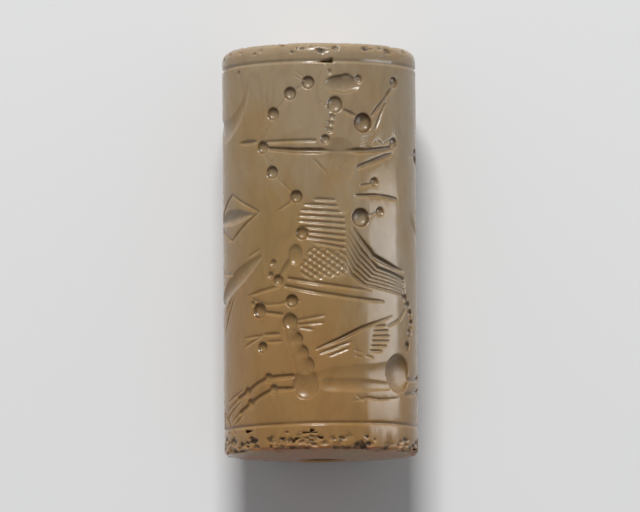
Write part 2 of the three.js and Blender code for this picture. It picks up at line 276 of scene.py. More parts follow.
@dataclass
class Graver:
    """The seal cutter's tools, held at one figure's origin in the print."""

    rollout: Rollout
    origin: Point = (0.0, 0.0)
    drill_depth: float = 0.68
    wheel_depth: float = 0.5
    least_depth: float = 0.07
    taper: float = 0.8
    lens_points: int = 9

    def ball(self, u: float, v: float, radius: float, depth: float = 0.0) -> None:
        """A bowl of the ball drill."""
        self.oval(u, v, radius, radius, depth=depth)

    def oval(self, u: float, v: float, half_u: float, half_v: float, turn: float = 0.0,
             depth: float = 0.0, section: Section = Section.BOWL) -> None:
        """An oval bowl, worked with the drill moved to and fro.

        Args:
            u: Middle along the print, from the figure's origin.
            v: Middle up the print, from the figure's origin.
            half_u: Half-width along its first axis.
            half_v: Half-width along its second axis.
            turn: Degrees that the first axis is turned from u.
            depth: Depth in the middle, or 0 for the drill's usual share of its width.
            section: Cross-section.
        """
        deep = depth or max(self.drill_depth * min(half_u, half_v), self.least_depth)
        reach = max(half_u, half_v)
        rows, columns, du, dv = self.rollout.near(self.origin[0] + u, self.origin[1] + v, reach)
        cos, sin = math.cos(math.radians(turn)), math.sin(math.radians(turn))
        x = (du * cos + dv * sin) / half_u
        y = (dv * cos - du * sin) / half_v
        self.rollout.press(rows, columns, deep * section.share(np.hypot(x, y)))

    def groove(self, points: Sequence[Point], widths: Sequence[float], depth: float = 0.0,
               section: Section = Section.ROUND) -> None:
        """A cut along a run of points, with its own width at each.

        Between two points the half-width h changes evenly. At a distance d from the line the
        depth is the section's share at d / h, times the full depth, times (h over its most) to
        the power of the taper.

        Args:
            points: The run, from the figure's origin.
            widths: Full width at each point.
            depth: Depth at the widest place, or 0 for the wheel's usual share of the width.
            section: Cross-section.
        """
        widest = max(widths)
        deep = depth or max(self.wheel_depth * widest, self.least_depth)
        for (u1, v1), (u2, v2), w1, w2 in zip(points, points[1:], widths, widths[1:]):
            run = math.hypot(u2 - u1, v2 - v1)
            reach = run / 2 + max(w1, w2) / 2
            middle = self.origin[0] + (u1 + u2) / 2, self.origin[1] + (v1 + v2) / 2
            rows, columns, du, dv = self.rollout.near(*middle, reach)
            along_u, along_v = (u2 - u1) / run, (v2 - v1) / run
            along = np.clip((du * along_u + dv * along_v) / run, -0.5, 0.5)
            gap = np.hypot(du - along * run * along_u, dv - along * run * along_v)
            half = np.maximum(w1 + (w2 - w1) * (along + 0.5), 1e-4) / 2
            local = deep * (2 * half / widest) ** self.taper
            self.rollout.press(rows, columns, local * section.share(gap / half))

    def wheel(self, start: Point, end: Point, width: float, end_width: float | None = None,
              bow: float = 0.0, blunt: Pair = (0.0, 0.0), depth: float = 0.0,
              section: Section = Section.VEE) -> None:
        """A stroke of the wheel: a lens from one point to another.

        Its half-width follows (1 - t ^ 2) ^ 1/2 along its length, t from -1 to 1, raised at a
        blunt end, and its line bows to one side by a parabola.

        Args:
            start: Where it starts, from the figure's origin.
            end: Where it ends.
            width: Width of the lens as it starts.
            end_width: Width of the lens as it ends, if that differs.
            bow: How far its middle lies to the left of the straight line.
            blunt: How blunt its two ends are, from 0 (pointed) to 1 (full width).
            depth: Depth at the widest place, or 0 for the wheel's usual share.
            section: Cross-section.
        """
        end_width = width if end_width is None else end_width
        t = np.linspace(-1.0, 1.0, self.lens_points)
        share = (t + 1) / 2
        run_u, run_v = end[0] - start[0], end[1] - start[1]
        run = math.hypot(run_u, run_v)
        aside = bow * (1 - t * t) / run
        u = start[0] + run_u * share - run_v * aside
        v = start[1] + run_v * share + run_u * aside
        lens = np.sqrt(1 - t * t)
        bluntness = np.where(t < 0, blunt[0], blunt[1])
        widths = (width + (end_width - width) * share) * (lens + (1 - lens) * bluntness)
        self.groove(list(zip(u, v)), list(widths), depth, section)

    def trough(self, *ends: object, **shape: object) -> None:
        """A stroke of a round-edged wheel, given as a plain stroke is."""
        self.wheel(*ends, section=Section.ROUND, **shape)

    def balls(self, *bowls: Triple) -> None:
        """Several bowls, each by its place and its radius."""
        for u, v, radius in bowls:
            self.ball(u, v, radius)

    def strokes(self, *rows: tuple) -> None:
        """Several strokes, each by its start, its end, its width and how blunt its ends are."""
        for start, end, width, *blunt in rows:
            self.wheel(start, end, width, blunt=blunt or (0.0, 0.0))

    def chain(self, points: Sequence[Point], radius: float) -> None:
        """A row of drilled balls."""
        for point in points:
            self.ball(*point, radius)

    def path(self, points: Sequence[Point], width: float, depth: float = 0.0) -> None:
        """A run of wheel strokes, each blunt where it meets the next."""
        for start, end in zip(points, points[1:]):
            self.trough(start, end, width, blunt=(0.7, 0.7), depth=depth)

    def fan(self, count: int, starts: tuple[Point, Point], ends: tuple[Point, Point], width: float,
            **shape: object) -> None:
        """Strokes spread evenly from a line of starts to a line of ends.

        Args:
            count: Number of strokes.
            starts: First and last start.
            ends: First and last end.
            width: Width of each stroke.
            **shape: Anything else that a wheel stroke takes.
        """
        for share in np.linspace(0.0, 1.0, count):
            start = tuple(a + (b - a) * share for a, b in zip(*starts))
            end = tuple(a + (b - a) * share for a, b in zip(*ends))
            self.wheel(start, end, width, **shape)

    def net(self, outline: Sequence[Point], pitch: float, angles: Pair,
            widths: Pair) -> None:
        """Two sets of parallel strokes, clipped to a convex outline.

        Args:
            outline: Corners, in order.
            pitch: Spacing between strokes.
            angles: Direction of each set, in degrees from u.
            widths: Width of the strokes of each set.
        """
        corners = np.array(outline)
        edges = np.roll(corners, -1, axis=0) - corners
        for angle, width in zip(angles, widths):
            along = np.array([math.cos(math.radians(angle)), math.sin(math.radians(angle))])
            across = np.array([-along[1], along[0]])
            levels = corners @ across
            for level in np.arange(levels.min() + pitch / 2, levels.max(), pitch):
                crossings = []
                for corner, edge in zip(corners, edges):
                    slope = edge @ across
                    share = (level - corner @ across) / slope if abs(slope) > 1e-9 else -1.0
                    if 0.0 <= share <= 1.0:
                        crossings.append((corner + edge * share) @ along)
                if len(crossings) >= 2 and max(crossings) - min(crossings) > pitch / 2:
                    ends = (across * level + along * reach for reach in (min(crossings), max(crossings)))
                    self.wheel(*map(tuple, ends), width, blunt=(0.6, 0.6))


# ----- the scene


@dataclass
class Head:
    """A small head in profile, facing right: a bowl with a plain nose and chin, and a beard if any.

    The nose, the chin and the beard are placed from the head's own radius.
    """

    centre: Point
    radius: float
    beard: float = 0.0

    def cut(self, tool: Graver) -> None:
        """Cuts the head.

        Args:
            tool: Tools held at the figure's origin.
        """
        u, v = self.centre
        r = self.radius
        tool.oval(u, v, r * 0.94, r, depth=0.55 * r)
        tool.wheel((u + 0.72 * r, v + 0.4 * r), (u + 1.3 * r, v - 0.28 * r), 0.3 * r)
        tool.ball(u + 0.62 * r, v - 0.78 * r, 0.3 * r)
        if self.beard:
            for share in (0.35, 0.68, 1.0):
                drop = v - r * 0.6 - self.beard * share
                tool.oval(u + 0.25 * r + 0.45 * r * share, drop, 0.5 * r, 0.42 * r)


@dataclass
class Figure:
    """One figure of the scene, cut with tools held at its origin in the print."""

    origin: Point

    def cut(self, rollout: Rollout) -> None:
        """Cuts the whole figure into the rollout."""
        self.engrave(Graver(rollout, self.origin))

    def engrave(self, tool: Graver) -> None:
        """Cuts the figure with tools held at its origin."""
        raise NotImplementedError


@dataclass
class Worshipper(Figure):
    """The robed person, standing behind the archer with both hands raised."""

    origin: Point = (-18.5, 6.0)

    def engrave(self, tool: Graver) -> None:
        """Cuts it part by part."""
        for cut_part in (self.cut_head, self.cut_robe, self.cut_arms, self.cut_feet):
            cut_part(tool)

    def cut_head(self, tool: Graver) -> None:
        """Round cap with its finial, face, and the bun of hair behind."""
        tool.oval(1.2, 23.4, 1.48, 1.05, depth=0.62)
        Head((1.3, 21.2), 1.0).cut(tool)
        tool.chain(((0.75, 25.9), (1.35, 26.15), (1.85, 25.55)), 0.2)
        tool.ball(-1.3, 20.4, 0.92)
        tool.strokes(((-0.6, 21.35), (0.4, 21.05), 0.3), ((-2.2, 25.95), (-1.0, 25.2), 0.18))

    def cut_robe(self, tool: Graver) -> None:
        """Shoulders, chest, and a long robe that widens to its hem."""
        tool.oval(-1.3, 17.3, 1.35, 1.75, depth=0.8)
        tool.oval(-0.7, 18.7, 1.15, 0.95)
        tool.oval(0.8, 17.2, 1.0, 1.3, depth=0.5)
        line = [(0.5, 17.6), (0.35, 15.2), (-0.35, 12.5), (-0.95, 8.9), (-1.6, 5.6), (-1.85, 3.9)]
        tool.groove(line, [2.3, 2.4, 3.9, 4.3, 5.0, 4.9], 0.72, Section.TRAY)
        tool.oval(-1.85, 4.0, 2.75, 2.15, depth=0.98, section=Section.TRAY)
        tool.balls((-0.7, 14.4, 0.4), (-1.75, 13.1, 0.5), (-4.2, 3.6, 0.45), (1.0, 3.5, 0.42))
        tool.fan(3, ((-4.4, 4.6), (-3.0, 4.7)), ((-4.3, 4.1), (-2.9, 4.2)), 0.2)

    def cut_arms(self, tool: Graver) -> None:
        """One arm raised to a pointing hand, and one held forward with open fingers."""
        tool.trough((0.4, 16.6), (5.3, 19.85), 1.45, 0.9, blunt=(0.8, 0.8))
        tool.ball(5.6, 20.1, 0.68)
        tool.strokes(((5.9, 20.1), (7.9, 19.75), 0.3, 1.0, 0.0), ((4.2, 14.3), (5.8, 14.8), 0.28))
        tool.trough((1.3, 14.25), (4.7, 13.75), 1.2, 0.9, blunt=(0.8, 0.6))
        for drop in (0.0, 0.45):
            tool.wheel((4.4, 13.6 - drop), (5.75, 13.0 - drop), 0.24, blunt=(0.3, 1.0))
            tool.wheel((5.7, 13.0 - drop), (8.0, 14.6 - drop), 0.24, blunt=(1.0, 0.0))

    def cut_feet(self, tool: Graver) -> None:
        """Both feet in profile, heel to toe."""
        for heel, toe, width in (((-3.9, 0.5), (-1.1, -0.3), 1.2), ((0.15, 0.65), (3.4, 0.15), 1.3)):
            tool.groove([heel, toe], [width, 0.25], 0.5)


@dataclass
class Archer(Figure):
    """The archer with drawn bow, long open coat and quiver."""

    origin: Point = (-2.2, 12.0)
    ball: float = 0.62

    def engrave(self, tool: Graver) -> None:
        """Cuts it part by part."""
        for cut_part in (self.cut_head, self.cut_bow, self.cut_body,
                         self.cut_skirt, self.cut_coat, self.cut_legs):
            cut_part(tool)

    def cut_head(self, tool: Graver) -> None:
        """Wide cap with a knob at each end, face, long beard, and the bun of hair."""
        tool.oval(-0.05, 20.15, 1.75, 0.9, depth=0.42)
        tool.balls((-1.65, 20.65, 0.42), (1.2, 21.3, 0.26), (-2.1, 16.55, 0.94))
        tool.oval(-0.4, 20.75, 0.62, 0.42)
        Head((0.7, 18.2), 0.8, beard=1.9).cut(tool)
        tool.trough((-1.5, 17.1), (0.1, 17.8), 0.4)

    def cut_bow(self, tool: Graver) -> None:
        """A bow that is a chain of balls, the arrow on it, and the hand that holds it."""
        bow = [(3.23, 20.3), (5.0, 19.3), (6.75, 17.45), (7.93, 14.35), (6.9, 11.95), (4.45, 9.55)]
        tool.chain(bow, self.ball)
        tool.path(bow, 0.22, depth=0.06)
        tool.strokes(((4.6, 9.3), (6.4, 8.2), 0.28, 1.0, 0.0),
            ((2.6, 14.82), (7.6, 14.85), 0.36, 1.0, 1.0), ((8.7, 14.95), (11.0, 14.95), 0.52, 0.6, 0.2))
        tool.fan(2, ((3.6, 20.8), (3.7, 20.5)), ((4.5, 21.4), (4.6, 21.1)), 0.18)
        tool.ball(1.63, 14.9, 0.48)

    def cut_body(self, tool: Graver) -> None:
        """Quiver, arms and shoulders in one long cut, and the chest narrowing to the belt."""
        tool.balls((-5.9, 20.6, 0.55), (-5.8, 14.87, 0.5), (-3.3, 11.0, 0.46), (-1.8, 7.6, 0.9),
            (-3.92, 8.25, 0.46))
        tool.path([(-5.6, 20.1), (-4.8, 19.15), (-3.05, 17.3)], 0.38, depth=0.22)
        tool.path([(-4.8, 18.6), (-4.45, 18.15), (-3.45, 16.0)], 0.34, depth=0.2)
        tool.path([(-5.3, 15.1), (-4.4, 14.6), (-3.6, 15.0), (-3.2, 14.5)], 0.26, depth=0.13)
        tool.fan(4, ((-3.2, 15.2), (-3.0, 14.3)), ((-1.9, 15.1), (-1.7, 14.2)), 0.24, bow=0.12)
        arms = [(-5.6, 14.4), (-3.4, 14.0), (0.4, 13.8), (4.5, 13.9), (7.2, 14.2)]
        tool.groove(arms, [0.45, 0.55, 0.6, 0.55, 0.4], 0.3)
        tool.strokes(((-5.8, 13.9), (-1.6, 12.35), 0.66, 0.1, 0.8),
            ((-2.9, 10.75), (-1.9, 10.62), 0.36, 1.0, 1.0), ((-3.6, 8.1), (-2.5, 7.8), 0.3, 1.0, 1.0))
        chest = [(0.35, 13.2), (0.3, 12.2), (0.3, 11.0), (0.2, 9.7), (-0.05, 8.4)]
        tool.groove(chest, [3.9, 3.0, 2.1, 1.5, 1.1], 0.3)
        tool.path([(2.7, 13.0), (1.55, 11.75), (1.05, 10.75), (0.7, 10.2)], 0.24, depth=0.1)
        tool.path([(-6.2, 9.55), (-3.8, 9.75), (-1.3, 9.65)], 0.38, depth=0.22)

    def cut_skirt(self, tool: Graver) -> None:
        """Short skirt: rows of fringe, a netted panel, and its two hem lines."""
        fringe_rows = 9
        for share in np.linspace(0.0, 1.0, fringe_rows):
            left = 0.8 - 0.9 * min(2.5 * share, 1.0)
            right = 2.8 + 1.5 * math.sin(math.pi * share) ** 0.5
            level = 9.25 - 4.3 * share
            fall = 0.05 + 0.22 * share
            tool.wheel((left, level - fall), (right, level + fall), 0.38, blunt=(0.9, 0.4), depth=0.2)
        panel = ((3.1, 4.8), (-0.1, 4.4), (-1.2, 2.3), (3.2, 1.6), (4.3, 2.7))
        tool.net(panel, 0.52, (33.0, -40.0), (0.36, 0.28))
        tool.wheel((-2.9, 0.72), (5.2, 1.85), 0.42, blunt=(0.3, 1.0), bow=-0.1)
        tool.wheel((-4.3, -0.25), (5.5, 1.15), 0.44, blunt=(0.6, 1.0), bow=-0.25)

    def cut_coat(self, tool: Graver) -> None:
        """Long coat swept back: strokes that fall from the waist and curve to the rear."""
        outer = [(-1.0, 6.6), (-1.9, 5.4), (-2.7, 4.5), (-3.1, 4.0), (-4.4, 3.5), (-5.6, 3.1), (-7.2, 2.8)]
        tool.groove(outer, [0.2, 0.45, 0.6, 0.6, 0.55, 0.45, 0.15], 0.34)
        stripes = 6
        for share in np.linspace(0.0, 1.0, stripes):
            waist = (-0.6 + 0.5 * share, 6.2 - 2.6 * share)
            thigh = (-1.9 + 1.0 * share, 4.4 - 2.2 * share)
            bend = (-3.6 + 1.4 * share, 2.9 - 1.6 * share)
            rear = (-7.3 - 0.1 * share, 2.05 - 1.5 * share)
            tool.groove([waist, thigh, bend, rear], [0.14, 0.44, 0.46, 0.38], 0.32, Section.VEE)

    def cut_legs(self, tool: Graver) -> None:
        """The bared front leg with its long dagger, and the rear foot below the hem."""
        tool.balls((3.9, 6.1, 0.62), (6.3, 1.75, 0.54), (6.8, 3.4, 0.33), (7.1, 2.25, 0.32),
            (4.95, -0.25, 0.62))
        tool.oval(4.55, 4.1, 0.7, 1.0, depth=0.3)
        tool.trough((4.8, 4.0), (6.3, 1.8), 0.7, 0.6, depth=0.2)
        tool.trough((6.3, 1.15), (9.9, 0.45), 0.42, depth=0.13, blunt=(1.0, 0.2))
        tool.fan(2, ((4.55, 6.7), (4.9, 6.5)), ((6.6, 3.3), (6.9, 3.4)), 0.16, depth=0.05)
        tool.wheel((4.0, -0.3), (5.0, -0.2), 0.26)
        tool.groove([(5.2, -0.3), (6.2, -0.5), (7.6, -0.5), (9.0, 0.0), (10.2, 0.65)],
                    [0.45, 0.38, 0.36, 0.3, 0.1], 0.12)


@dataclass
class WingedBeast(Figure):
    """The winged beast that gallops below, head up and tail raised like a scorpion's."""

    origin: Point = (-4.0, 0.0)

    def engrave(self, tool: Graver) -> None:
        """Cuts it part by part."""
        for cut_part in (self.cut_body, self.cut_tail, self.cut_head, self.cut_legs, self.cut_wing):
            cut_part(tool)

    def cut_body(self, tool: Graver) -> None:
        """Round rump, long belly, deep chest, and a neck of balls drilled into each other."""
        tool.ball(-4.5, 5.1, 1.85, depth=0.65)
        tool.groove([(-4.0, 4.9), (-1.5, 4.75), (2.6, 4.6), (5.0, 4.4)], [3.0, 2.4, 1.9, 1.0], 0.17)
        tool.groove([(-3.0, 3.95), (0.0, 3.95), (3.4, 3.95)], [1.2, 1.6, 1.5], 0.24)
        tool.oval(5.45, 3.95, 1.3, 1.5, depth=0.48)
        tool.groove([(5.5, 5.2), (6.0, 6.6), (6.7, 8.2), (7.0, 10.1)], [1.9, 1.6, 1.4, 1.2], 0.42)
        for u, v, radius in ((5.5, 5.6, 0.95), (5.95, 6.8, 0.85), (6.45, 8.1, 0.8), (6.95, 9.8, 0.8)):
            tool.ball(u, v, radius, depth=0.42)

    def cut_tail(self, tool: Graver) -> None:
        """A chain of balls that curls over, ending in a sting."""
        tail = [(-6.1, 7.75), (-6.7, 9.1), (-7.1, 9.95), (-6.8, 10.85), (-6.3, 11.55), (-5.7, 12.2)]
        tool.chain(tail, 0.5)
        tool.strokes(((-6.4, 11.9), (-4.7, 10.2), 0.38, 0.5, 0.9),
            ((-4.8, 10.2), (-2.9, 9.4), 0.36, 0.9, 0.2))

    def cut_head(self, tool: Graver) -> None:
        """Mane strokes behind, and a muzzle with open jaws and a forked tongue."""
        tool.fan(2, ((3.3, 10.4), (3.4, 9.7)), ((6.2, 9.9), (6.1, 9.5)), 0.32, blunt=(0.0, 0.8))
        tool.strokes(((4.6, 9.0), (5.9, 9.2), 0.32, 0.2, 0.8),
            ((7.7, 10.5), (9.6, 10.8), 0.42, 1.0, 0.6), ((8.1, 8.7), (9.7, 8.7), 0.42, 0.8, 0.6),
            ((7.8, 8.0), (9.4, 8.0), 0.34, 0.8, 0.4), ((9.9, 8.62), (12.3, 8.5), 0.3, 0.8, 0.0),
            ((10.0, 8.5), (12.4, 7.6), 0.3, 0.6, 0.0))
        tool.balls((10.25, 11.0, 0.76), (11.05, 11.7, 0.28), (9.9, 7.5, 0.55))

    def cut_legs(self, tool: Graver) -> None:
        """Two legs thrown forward and two back, jointed with balls and clawed."""
        legs = (
            ([(6.7, 4.7), (9.2, 4.6), (10.5, 4.1), (11.8, 3.4), (13.3, 2.9)], 0.46),
            ([(6.6, 3.5), (8.65, 3.5), (10.2, 2.9), (11.4, 2.3), (13.0, 1.5)], 0.46),
            ([(-6.2, 4.6), (-9.7, 4.95), (-11.8, 4.35), (-14.0, 3.7)], 0.42),
            ([(-5.8, 3.2), (-9.4, 3.7), (-11.6, 3.3), (-14.1, 2.65)], 0.46),
        )
        for points, width in legs:
            tool.groove(points, [width] * len(points), 0.22)
        joints = ((9.2, 4.6), (11.8, 3.4), (8.65, 3.5), (11.4, 2.3), (-9.7, 4.95), (-9.4, 3.65),
                  (-14.05, 3.75), (-14.15, 2.6), (-15.8, 3.4), (-15.3, 2.4))
        tool.chain(joints, 0.47)
        tool.fan(3, ((12.2, 3.7), (12.6, 2.6)), ((15.6, 2.6), (16.2, 0.9)), 0.28)
        tool.fan(2, ((12.4, 1.9), (12.3, 1.4)), ((14.6, 0.7), (14.2, 0.3)), 0.28)
        tool.fan(2, ((-15.9, 3.1), (-15.4, 2.2)), ((-17.6, 1.5), (-17.5, 0.6)), 0.26)
        tool.wheel((-15.7, 2.7), (-17.6, 1.0), 0.2)

    def cut_wing(self, tool: Graver) -> None:
        """Long strokes from the shoulder and short feathers that spread behind them."""
        tool.groove([(4.4, 7.2), (2.0, 8.2), (0.0, 9.2), (-3.6, 10.45)], [0.2, 0.42, 0.42, 0.14], 0.26)
        tool.strokes(((1.0, 7.9), (4.1, 6.75), 0.38, 0.2, 0.6),
            ((1.2, 7.3), (3.2, 6.5), 0.32, 0.3, 0.6), ((0.7, 2.9), (-0.4, 2.2), 0.2))
        for u, v in ((0.3, 7.0), (0.3, 6.5), (-0.8, 6.5)):
            tool.wheel((u - 0.35, v - 0.05), (u + 0.35, v + 0.05), 0.22, blunt=(0.8, 0.8))
        feathers = 6
        for share in np.linspace(0.0, 1.0, feathers):
            tip = (-2.8 - 0.75 * math.sin(2.6 * share) + 0.9 * share**2, 9.55 - 2.45 * share)
            root = (-1.35 + 0.4 * share, 9.35 - 2.3 * share)
            tool.wheel(tip, root, 0.36, blunt=(0.3, 0.6), depth=0.2)
        tool.groove([(-4.4, 2.75), (-2.0, 2.5), (-0.6, 2.65), (1.0, 2.3)], [0.14, 0.3, 0.28, 0.1], 0.14)


@dataclass
class Crescent(Figure):
    """The crescent in the field before the archer, on its back, with a dot by it."""

    origin: Point = (12.05, 32.9)
    radius: float = 4.55
    width: float = 2.15
    half_turn: float = 92.0

    def engrave(self, tool: Graver) -> None:
        """Cuts the crescent: a shallow arc that narrows to both tips."""
        t = np.linspace(-1.0, 1.0, 25)
        turn = t * math.radians(self.half_turn)
        points = zip(self.radius * np.sin(turn), -self.radius * np.cos(turn))
        widths = self.width * (1 - np.abs(t) ** 1.1) + 0.1
        tool.groove(list(points), list(widths), 0.18)
        tool.ball(-3.1, 0.75, 0.24)


@dataclass
class Rhomb(Figure):
    """The rhomb in the field, with an eye in it and a dot."""

    origin: Point = (10.5, 20.0)

    def engrave(self, tool: Graver) -> None:
        """Cuts the outline, the eye and the dot."""
        corners = [(-4.3, 0.3), (-0.2, 2.2), (4.3, -0.25), (-0.1, -2.15), (-4.3, 0.3)]
        for start, end in zip(corners, corners[1:]):
            tool.wheel(start, end, 0.36, blunt=(0.7, 0.7))
        eye = [(-3.6, 0.1), (-1.8, 0.1), (0.0, 0.05), (1.9, 0.0), (3.8, -0.1)]
        tool.groove(eye, [0.1, 1.2, 1.6, 1.2, 0.1], 0.4)
        tool.ball(1.5, -1.4, 0.2)


@dataclass
class Fish(Figure):
    """The fish, nose up to the left, with its fins and tail."""

    origin: Point = (6.4, 15.6)

    def engrave(self, tool: Graver) -> None:
        """Cuts the fish."""
        spine = [(-0.3, 0.4), (1.0, -0.4), (2.4, -1.15), (4.8, -2.3), (6.6, -3.05), (8.4, -3.6)]
        tool.groove(spine, [0.5, 1.25, 1.75, 1.75, 1.4, 0.8], 0.26)
        tool.trough((7.2, -3.35), (9.2, -3.85), 0.85, blunt=(0.5, 0.5), depth=0.45)
        tool.groove([(8.2, -3.5), (9.6, -3.7), (12.0, -3.75)], [0.8, 0.55, 0.2], 0.3)
        tool.strokes(((-0.4, 1.2), (1.3, 0.5), 0.26), ((-0.5, 0.5), (0.8, 0.1), 0.26),
            ((3.9, -0.95), (7.1, -0.5), 0.34, 0.8, 0.1), ((3.8, -2.8), (5.9, -4.6), 0.26),
            ((3.4, -3.0), (6.4, -6.6), 0.3))
        tool.fan(2, ((7.3, -4.1), (7.0, -4.4)), ((11.0, -7.3), (10.3, -7.3)), 0.32)


@dataclass
class Monster(Figure):
    """The winged lion monster, rearing on its mound with both forepaws up."""

    origin: Point = (25.9, 21.7)

    def engrave(self, tool: Graver) -> None:
        """Cuts it part by part."""
        for cut_part in (self.cut_head, self.cut_arms, self.cut_wings, self.cut_trunk, self.cut_legs):
            cut_part(tool)

    def cut_head(self, tool: Graver) -> None:
        """Open-jawed beast's head with long ears, and a mane of strokes down the neck."""
        tool.oval(-4.4, 5.5, 1.2, 1.3, depth=0.75)
        tool.trough((-6.7, 6.95), (-5.0, 6.3), 0.5, blunt=(0.8, 0.8))
        tool.oval(-7.4, 7.35, 0.68, 0.75)
        tool.balls((-8.35, 7.75, 0.32), (-2.0, 7.9, 0.25))
        tool.oval(-6.4, 2.4, 0.7, 0.85)
        tool.trough((-6.0, 2.8), (-3.4, 3.95), 0.62, blunt=(0.6, 0.4))
        tool.strokes(((-5.8, 3.3), (-5.1, 4.3), 0.3, 0.6, 0.4),
            ((-5.35, 10.3), (-3.6, 6.3), 0.34, 0.2, 0.6), ((-4.75, 10.4), (-2.0, 5.3), 0.34, 0.2, 0.8))
        tool.fan(6, ((-2.9, 5.7), (-4.0, 3.0)), ((0.3, 2.2), (-1.7, 0.4)), 0.4, blunt=(0.6, 0.8))

    def cut_arms(self, tool: Graver) -> None:
        """Round shoulder, upper forearm and paw with four claws, and the lower one."""
        tool.ball(0.0, 0.0, 1.82, depth=1.0)
        tool.trough((-0.3, 2.6), (3.0, 1.3), 1.25, blunt=(0.6, 0.8))
        tool.ball(2.8, 1.0, 0.85)
        tool.trough((2.9, 1.1), (6.3, 5.0), 0.95, 0.8, blunt=(0.6, 0.8))
        tool.ball(7.2, 5.5, 1.5, depth=0.85)
        tool.chain(((7.1, 8.0), (8.2, 7.4), (9.1, 6.4), (9.0, 5.1)), 0.47)
        tool.fan(3, ((8.4, 7.7), (9.3, 5.1)), ((9.8, 8.4), (10.5, 5.2)), 0.24)
        tool.trough((0.5, -1.5), (3.8, -3.2), 1.15, blunt=(0.7, 0.8))
        tool.strokes(((1.6, -0.9), (3.2, -1.9), 0.34), ((1.8, 0.2), (2.6, -0.6), 0.26))
        tool.oval(4.2, -3.6, 1.3, 1.6, turn=12.0, depth=0.85)
        for u, v, tip_u, tip_v in ((5.6, -2.4, 7.0, -1.7), (5.8, -3.2, 8.0, -2.8),
                                   (5.7, -4.1, 7.9, -4.6), (5.3, -5.0, 6.7, -6.6)):
            tool.ball(u, v, 0.38)
            tool.wheel((u, v), (tip_u, tip_v), 0.3, blunt=(0.8, 0.0))

    def cut_wings(self, tool: Graver) -> None:
        """The upper wing spread behind the neck, and the lower one bent to the front."""
        tool.trough((-0.1, 5.2), (2.9, 11.0), 0.5, depth=0.12)
        feathers = 9
        for share in np.linspace(0.0, 1.0, feathers):
            root = (0.4 + 0.9 * share, 5.8 - 3.2 * share)
            bulge = math.sin(math.pi * share)
            tip = (3.3 + 1.3 * bulge - 0.2 * share, 10.2 - 6.9 * share)
            tool.wheel(root, tip, 0.33, blunt=(0.3, 0.5))
        tool.trough((-2.3, 1.2), (-5.9, -2.0), 0.55, 0.4, blunt=(0.4, 0.9))
        tool.wheel((-5.7, -1.95), (-8.5, -0.8), 0.4, blunt=(0.9, 0.1))
        tool.fan(3, ((-1.9, 0.5), (-1.9, -1.4)), ((-5.4, -1.9), (-4.6, -2.3)), 0.3)
        feathers = 10
        for share in np.linspace(0.0, 1.0, feathers):
            root = (-5.8 + 3.5 * share, -1.9 - 0.35 * share)
            swing = math.radians(192.0 + 62.0 * share)
            reach = 3.0 + 0.25 * math.sin(math.pi * share) + 0.1 * share
            tip = (root[0] + reach * math.cos(swing), root[1] + reach * math.sin(swing))
            tool.wheel(root, tip, 0.32, blunt=(0.4, 0.5))

    def cut_trunk(self, tool: Graver) -> None:
        """Long feathered trunk down to the haunch, and three ball-ended tail rods."""
        tool.groove([(-0.2, -1.6), (-1.4, -4.4), (-2.6, -7.6)], [2.6, 2.6, 2.3], 0.28, Section.TRAY)
        tool.fan(7, ((-1.8, -1.7), (1.2, -2.3)), ((-4.1, -7.0), (-1.5, -9.2)), 0.42, blunt=(0.6, 0.5))
        tool.oval(-5.45, -8.9, 1.85, 2.75, turn=8.0, depth=1.0)
        rods = (((-11.0, -5.1), (-7.9, -6.2)), ((-11.1, -6.4), (-7.3, -6.9)),
                ((-11.25, -7.3), (-7.3, -7.4)))
        for start, end in rods:
            tool.ball(*start, 0.4)
            tool.wheel(start, end, 0.36, blunt=(0.8, 0.8))
        tool.wheel((-7.95, -6.2), (-6.4, -7.2), 0.34, blunt=(0.8, 0.6))

    def cut_legs(self, tool: Graver) -> None:
        """Both hind legs, jointed with balls, standing on clawed feet."""
        tool.balls((-7.3, -12.35, 0.74), (-9.95, -17.8, 0.68), (-2.2, -11.4, 1.05),
            (-1.65, -12.9, 0.82), (-0.1, -17.9, 0.64))
        tool.trough((-7.8, -12.8), (-9.8, -17.3), 0.85, depth=0.13, blunt=(0.6, 0.6))
        tool.strokes(((-9.9, -17.4), (-12.5, -18.4), 0.34, 0.8, 0.0),
            ((0.0, -18.0), (-2.7, -18.8), 0.34, 0.8, 0.0))
        tool.fan(2, ((-9.5, -17.6), (-9.5, -18.5)), ((-6.8, -18.25), (-7.3, -18.85)), 0.34,
                 blunt=(0.8, 0.2))
        tool.trough((-4.6, -8.8), (-1.7, -11.9), 2.1, 1.5, blunt=(0.6, 0.5))
        tool.trough((-1.5, -13.1), (0.3, -17.7), 0.78, 0.6, blunt=(0.7, 0.7))
        tool.fan(2, ((0.3, -17.95), (0.2, -18.6)), ((3.6, -17.95), (4.2, -18.75)), 0.36, blunt=(0.8, 0.3))


@dataclass
class Mound(Figure):
    """The netted mound on which the monster stands."""

    origin: Point = (21.6, 0.0)

    def engrave(self, tool: Graver) -> None:
        """Cuts the mound."""
        outline = [(-11.6, -0.4), (-8.6, 2.0), (-7.0, 2.6), (7.6, 2.65), (9.3, 2.0), (11.3, 0.0)]
        tool.groove(outline, [0.3, 0.36, 0.36, 0.36, 0.36, 0.3], 0.2, Section.VEE)
        inner = ((-9.6, 0.15), (-8.3, 1.9), (-6.8, 2.35), (7.4, 2.35), (8.9, 1.8), (10.4, 0.15))
        tool.net(inner, 0.58, (-41.0, 33.0), (0.34, 0.26))


